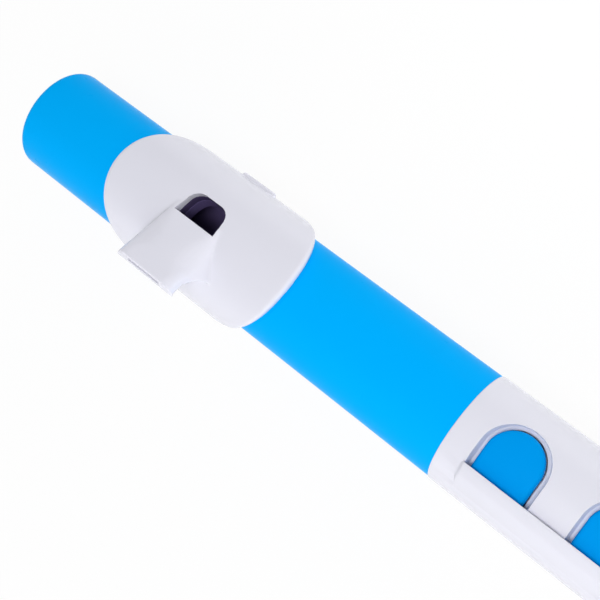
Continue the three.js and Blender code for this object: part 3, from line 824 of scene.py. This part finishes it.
def make_body():
    """The bored body: tenon with its grooves, shoulders for the covers, tone-hole seats and the foot."""
    foot = BODY_END - FOOT_LENGTH
    profile = [
        (TENON_START, BORE_RADIUS),
        (TENON_START, COLLAR_RADIUS - TENON_CHAMFER),
        (TENON_START + TENON_CHAMFER, COLLAR_RADIUS),
    ]
    for groove in TENON_GROOVES:
        near, far = TENON_START + groove - GROOVE_HALF, TENON_START + groove + GROOVE_HALF
        profile += [(near, COLLAR_RADIUS), (near, GROOVE_RADIUS), (far, GROOVE_RADIUS), (far, COLLAR_RADIUS)]
    profile += [
        (COVER_START, COLLAR_RADIUS),
        (COVER_START, SEAT_RADIUS),
        (COVER_START + SHOULDER_LENGTH, SEAT_RADIUS),
        (COVER_START + SHOULDER_LENGTH, CORE_RADIUS),
        (foot - SHOULDER_LENGTH, CORE_RADIUS),
        (foot - SHOULDER_LENGTH, SEAT_RADIUS),
        (foot, SEAT_RADIUS),
    ]
    profile += arc(foot + EDGE_ROUND, BODY_RADIUS - EDGE_ROUND, EDGE_ROUND, 180, 90)
    profile += arc(BODY_END - FOOT_ROUND, BODY_RADIUS - FOOT_ROUND, FOOT_ROUND, 90, 0)
    profile += arc(BODY_END - BORE_ROUND, BORE_RADIUS + BORE_ROUND, BORE_ROUND, 0, -90)
    body = turned("bored_body", profile)
    root = (BORE_RADIUS + CORE_RADIUS) / 2 - CHIMNEY_ROOT
    for finger, x in KEY_X.items():
        up = -1 if finger in THUMB else 1
        middle = place(x, up * PAD_Y, up * (SEAT_Z + root) / 2)
        carve(body, round_bar("chimney", middle, CHIMNEY_RADIUS, SEAT_Z - root, "Z"), "UNION")
        mouth = place(x, up * PAD_Y, up * SEAT_Z)
        carve(body, round_bar("tone_hole", mouth, TONE_HOLE_RADIUS, SEAT_Z, "Z"))
    dress(body, white_plastic, "body", ["body_core"])


def make_hood(first, last):
    """The hood over a row of hinges: its section carried along the body, with a ramp at each end."""
    start, end = first - HOOD_LEAD, last + HOOD_TAIL
    ridge = BODY_RADIUS + HOOD_RISE
    tangent = HOOD_RIDGE_ANGLE + math.degrees(math.acos(BODY_RADIUS / ridge))
    inside = BODY_RADIUS - HOOD_OVERLAP
    inner = HOOD_INNER_ANGLE
    inner_y = polar(inner, ridge)[0]
    corner = math.degrees(HOOD_CORNER / ridge)
    steps = ARC_STEPS
    reach = HOOD_RIDGE_ANGLE - inner
    section = [(inner_y, math.sqrt(HOOD_UNDERSIDE**2 - inner_y**2)), polar(inner, ridge - HOOD_CORNER)]
    section += [polar(inner + corner * HOOD_CORNER_SHARE, ridge - HOOD_CORNER_SHARE * HOOD_CORNER)]
    section += [polar(inner + corner + reach * i / steps, ridge) for i in range(steps)]
    section += [polar(HOOD_RIDGE_ANGLE + HOOD_SHOULDER_TURN, ridge - HOOD_SHOULDER_DROP)]
    section += [polar(tangent - HOOD_FOOT_LEAD, BODY_RADIUS + HOOD_FOOT_RISE)]
    section += [polar(tangent + HOOD_FOOT_TAIL, BODY_RADIUS - HOOD_FOOT_SINK)]
    section += [polar(tangent + HOOD_FOOT_TAIL, inside), polar((inner + tangent) / 2, inside)]
    levels = [-HOOD_SINK * (1 + math.cos(math.pi * i / steps)) / 2 for i in range(steps + 1)]
    rises = [high - low for low, high in zip(levels, levels[1:])]
    hood = outline("hood", [place(start, y, z + levels[0]) for y, z in section])
    for rise in rises:
        extrude((HOOD_RAMP / steps, 0, rise))
    extrude((end - start - 2 * HOOD_RAMP, 0, 0))
    for rise in reversed(rises):
        extrude((HOOD_RAMP / steps, 0, -rise))
    close_up()
    return hood


def d_plan(half, back):
    """A D seen from above: straight towards the hood, round on the far side."""
    return [(-half, -back), (half, -back), *arc(0, 0, half, 0, 180, 6 * ARC_STEPS)]


def leaned(piece, back=0.0):
    """Leans a key, or what its opening is made with, down towards the hinge."""
    edit(piece)
    bpy.ops.mesh.select_all(action="SELECT")
    bpy.ops.transform.rotate(
        value=-math.radians(KEY_LEAN), orient_axis="X", center_override=place(0, 0, KEY_TOP)
    )
    bpy.ops.transform.translate(value=(0, back * MM, 0))
    rest()
    return piece


def make_opening_tool():
    """What a key's opening takes out of the cover: a well with a ledge and a steep rim above it."""
    deep = COVER_INSIDE - OPENING_REACH
    plan = d_plan(OPENING_HALF, KEY_BACK + OPENING_BACK_ROOM)
    tool = outline("opening_tool", [place(x, y, deep) for x, y in plan])
    well = BODY_RADIUS - RIM_DEPTH
    extrude((0, 0, well - deep))
    half, level = OPENING_HALF, well
    rims = arc(OPENING_HALF + RIM_LEDGE, well + RIM_FILLET, RIM_FILLET, -90, RIM_FILLET_END)
    rims += [(OPENING_HALF + RIM_WIDTH, BODY_RADIUS)]
    rims += [(OPENING_HALF + RIM_WIDTH + RIM_DRAFT, BODY_RADIUS + OPENING_REACH)]
    for next_half, next_level in rims:
        extrude((0, 0, next_level - level))
        grow = next_half / half
        bpy.ops.transform.resize(value=(grow, grow, 1), center_override=place(0, 0, 0))
        half, level = next_half, next_level
    close_up()
    return leaned(lay_on_round(tool, KEY_ARCH))


def make_cover(name, rows, opening):
    """Half of the body's shell, made as the upper one: thick between its shoulders, with key openings
    and hoods."""
    thick_start = COVER_START + SHOULDER_LENGTH + EDGE_ROUND
    thick_end = COVER_END - SHOULDER_LENGTH - EDGE_ROUND
    profile = [(SEAM_X, COVER_INSIDE)]
    profile += arc(SEAM_X + COVER_ROUND, BODY_RADIUS - COVER_ROUND, COVER_ROUND, 180, 90)
    profile += arc(COVER_END - COVER_ROUND, BODY_RADIUS - COVER_ROUND, COVER_ROUND, 90, 0)
    profile += [(COVER_END, COVER_INSIDE), (thick_end, COVER_INSIDE), (thick_end, THICK_WALL_INSIDE)]
    profile += [(thick_start, THICK_WALL_INSIDE), (thick_start, COVER_INSIDE)]
    cover = turned(name, profile)
    edit(cover)
    bpy.ops.mesh.select_all(action="SELECT")
    bpy.ops.mesh.bisect(
        plane_co=place(0, 0, SPLIT_GAP), plane_no=(0, 0, 1), use_fill=True, clear_inner=True
    )
    close_up()
    for row in rows:
        for finger in row:
            carve(cover, shift(twin(opening), KEY_X[finger]))
        carve(cover, make_hood(KEY_X[row[0]], KEY_X[row[-1]]), "UNION")
    return cover


def make_covers():
    opening = make_opening_tool()
    upper = make_cover("key_cover", [LEFT_HAND, RIGHT_HAND], opening)
    dress(upper, white_plastic, "body", ["upper_cover"])
    lower = shift(make_cover("back_cover", [THUMB], opening), 0, math.pi)
    dress(lower, white_plastic, "body", ["lower_cover"])
    bpy.data.objects.remove(opening)


# Keys


def swung(piece):
    """Swings a piece of a closed key open about its hinge."""
    edit(piece)
    bpy.ops.mesh.select_all(action="SELECT")
    bpy.ops.transform.rotate(
        value=-math.radians(KEY_TRAVEL), orient_axis="X", center_override=place(0, HINGE_Y, HINGE_Z)
    )
    rest()
    return piece


def make_cup():
    """The round holder of the pad, from its rim up into the finger plate."""
    height = KEY_TOP - CUP_RIM
    cup = swung(round_bar("cup", place(0, PAD_Y, CUP_RIM + height / 2), CUP_RADIUS, height, "Z"))
    underside = KEY_TOP - KEY_THICKNESS
    under_plate = round_bar("under_plate", place(0, 0, 0), underside, 4 * KEY_HALF, "X", SIDES)
    return carve(cup, under_plate, "INTERSECT")


def make_key():
    """One key at the crown's place: a D-shaped finger plate with rounded edges on its hinge barrel."""
    bottom = KEY_TOP - KEY_THICKNESS
    key = outline("key", [place(x, y, bottom) for x, y in d_plan(KEY_HALF, KEY_BACK)])
    extrude((0, 0, KEY_THICKNESS))
    close_up()
    edit(key)
    pick(key, lambda p: p.z > KEY_TOP - ON_TOP, edges=True)
    bpy.ops.mesh.bevel(
        offset=KEY_ROUND * MM, segments=KEY_ROUND_STEPS, affect="EDGES", clamp_overlap=True
    )
    close_up()
    leaned(lay_on_round(key, KEY_ARCH), -KEY_DRAW_BACK)
    arm = [
        (HINGE_Y, HINGE_Z),
        polar(ARM_ANGLE, KEY_TOP - ARM_DROP),
        polar(HOOD_INNER_ANGLE, KEY_TOP - ARM_DROP),
        polar(HOOD_INNER_ANGLE, bottom),
        (HINGE_Y + BARREL_RADIUS, HINGE_Z - BARREL_RADIUS / 2),
    ]
    carve(key, bar_along_x("arm", arm, -BARREL_HALF, BARREL_HALF), "UNION")
    carve(key, make_cup(), "UNION")
    well = round_bar("pad_well", place(0, PAD_Y, CUP_ROOF / 2), CUP_INSIDE, CUP_ROOF, "Z")
    carve(key, swung(well))
    hinge = place(0, HINGE_Y, HINGE_Z)
    carve(key, round_bar("barrel", hinge, BARREL_RADIUS, 2 * BARREL_HALF, "X"), "UNION")
    return carve(key, round_bar("rod_bore", hinge, ROD_BORE_RADIUS, 3 * BARREL_HALF, "X"))


def make_keys():
    model = make_key()
    for finger, x in KEY_X.items():
        key = shift(twin(model), x + KEY_SHIFT, math.pi if finger in THUMB else 0)
        key.name = f"{finger}_lever"
        dress(key, key_blue_with_painted_shade, f"{finger}_key", [f"{finger}_key"])
    bpy.data.objects.remove(model)


# Seals and the nodes that keep their solids


def make_seal_rings():
    """Rubber rings in the tenon's grooves, pressed flat and wider where they touch the head."""
    for i, groove in enumerate(TENON_GROOVES, 1):
        centre = place(TENON_START + groove, 0, 0)
        bpy.ops.object.select_all(action="DESELECT")
        bpy.ops.mesh.primitive_torus_add(
            major_radius=SEAL_RADIUS * MM,
            minor_radius=SEAL_SECTION * MM,
            major_segments=SIDES,
            minor_segments=SEAL_SECTION_SIDES,
            location=centre,
            rotation=(0, math.pi / 2, 0),
        )
        ring = named(f"seal_ring_{i}")
        edit(ring)
        pick(ring, lambda p: math.hypot(p.y, p.z) > SEAL_PRESSED_FROM)
        pressed = (SEAL_SPREAD, SEAL_SQUEEZE, SEAL_SQUEEZE)
        bpy.ops.transform.resize(value=pressed, center_override=centre)
        rest()
        dress(ring, rubber, "tenon_rings", [f"tenon_o_ring_{i}"])


def finish_nodes():
    """Gives the solids that stay as they are their finishes."""
    finishes = {"black_plastic": black_plastic, "rubber": rubber, "silicone": silicone, "steel": steel}
    for part in frame["record"]["subparts"]:
        if part["material_slot"] in finishes:
            node = frame["nodes"][part["node"]]
            for slot in node.material_slots:
                slot.material = finishes[part["material_slot"]]


# Stage


def make_floor():
    """A pale floor that is white to the camera and in mirrored light, and matt to all other light."""
    bpy.ops.object.select_all(action="DESELECT")
    bpy.ops.mesh.primitive_plane_add(size=FLOOR_SIZE, location=(0, 0, 0))
    floor = bpy.context.object
    floor.name = "floor"
    material = bpy.data.materials.new("pale floor")
    tree = Tree(material)
    camera_ray = tree.node("ShaderNodeLightPath", {}, {}, "Is Camera Ray")
    glossy_ray = tree.node("ShaderNodeLightPath", {}, {}, "Is Glossy Ray")
    clear_ray = tree.node("ShaderNodeLightPath", {}, {}, "Is Transmission Ray")
    seen = tree.node("ShaderNodeMath", {"operation": "MAXIMUM"}, [camera_ray + glossy_ray, clear_ray])
    plain = tree.node("ShaderNodeBsdfDiffuse", {}, {"Color": grey(FLOOR_GREY)})
    glow = tree.node("ShaderNodeEmission", {}, {"Color": grey(1), "Strength": 1})
    mixed = tree.node("ShaderNodeMixShader", {}, [FLOOR_GLOW * seen, plain, glow])
    tree.node("ShaderNodeOutputMaterial", {}, {"Surface": mixed})
    floor.data.materials.append(material)


def wall_ramp(tree, height, walls):
    """The greys of the room's walls, from one height to another."""
    stops = [(level, grey(shade)) for level, shade in walls]
    return tree.node("ShaderNodeValToRGB", {"stops": stops}, [height], "Color")


def make_light():
    """A white room that is darker above and past the flute's ends, and lamps that aren't seen in it."""
    world = bpy.data.worlds.new("studio")
    bpy.context.scene.world = world
    tree = Tree(world)
    look = tree.node("ShaderNodeTexCoord", {}, {}, "Generated")
    height = tree.node("ShaderNodeSeparateXYZ", {}, [look], "Z")
    along = tree.node("ShaderNodeSeparateXYZ", {}, [look], "X")
    sides = 1 - END_DARKNESS * (along * along)
    walls = wall_ramp(tree, height, WALLS)
    mirrored = wall_ramp(tree, height, MIRRORED_WALLS)
    glossy_ray = tree.node("ShaderNodeLightPath", {}, {}, "Is Glossy Ray")
    seen = tree.node(
        "ShaderNodeMix", {"data_type": "RGBA"}, {"Factor": glossy_ray, "A": walls, "B": mirrored}, "Result"
    )
    strips = tree.node(
        "ShaderNodeMix",
        {"data_type": "RGBA", "blend_type": "MULTIPLY"},
        {"Factor": 1, "A": seen, "B": sides},
        "Result",
    )
    camera_ray = tree.node("ShaderNodeLightPath", {}, {}, "Is Camera Ray")
    backdrop = tree.node(
        "ShaderNodeMix",
        {"data_type": "RGBA"},
        {"Factor": camera_ray, "A": strips, "B": grey(1)},
        "Result",
    )
    glow = tree.node("ShaderNodeBackground", {}, {"Color": backdrop, "Strength": 1.0})
    tree.node("ShaderNodeOutputWorld", {}, {"Surface": glow})
    middle = Vector((0, 0, 0))
    far_floor = Vector((-0.03, 0.16, 0))
    lamps = {
        "top_light": ((0.04, -0.1, 0.45), middle, (0.16, 0.16), 1.0),
        "front_light": ((0.22, -0.9, 0.6), middle, (1.0, 1.0), 3.1),
        "foot_light": ((1.0, -0.1, 0.05), middle, (0.8, 0.08), 2.5),
        "far_light": ((0, 1.1, 0.05), middle, (0.8, 0.8), 5.0),
        "crown_light": ((-1.0, -0.2, 0.3), middle, (0.8, 0.8), 0.5),
        "far_floor_light": ((-0.03, 0.16, 0.05), far_floor, (0.2, 0.2), 0.06),
    }
    for name, (stand, aim, size, power) in lamps.items():
        lamp = bpy.data.lights.new(name, "AREA")
        lamp.shape = "RECTANGLE"
        lamp.size, lamp.size_y = size
        lamp.energy = power
        holder = bpy.data.objects.new(name, lamp)
        holder.location = stand
        holder.rotation_euler = (aim - Vector(stand)).to_track_quat("-Z", "Y").to_euler()
        holder.visible_camera = False
        holder.visible_glossy = False
        bpy.context.scene.collection.objects.link(holder)


def make_camera():
    """The photograph's view: from above, tipped along the flute and turned about the line of sight."""
    tip = math.radians(CAMERA_TIP)
    roll = math.radians(CAMERA_ROLL)
    camera = bpy.data.cameras.new("camera")
    camera.lens = CAMERA_LENS
    camera.sensor_width = CAMERA_FILM
    camera.clip_start = CAMERA_CLIP
    holder = bpy.data.objects.new("camera", camera)
    turn = Matrix.Rotation(tip, 4, "Y") @ Matrix.Rotation(roll, 4, "Z")
    holder.matrix_world = Matrix.Translation(CAMERA_PLACE) @ turn
    bpy.context.scene.collection.objects.link(holder)
    bpy.context.scene.camera = holder


bpy.context.scene.view_settings.view_transform = "Standard"
make_camera()
make_light()
make_floor()
make_head_tube()
make_crown_plug()
make_head_liner()
make_blow_hole_wall()
make_lip_plate()
make_body()
make_covers()
make_keys()
make_seal_rings()
finish_nodes()
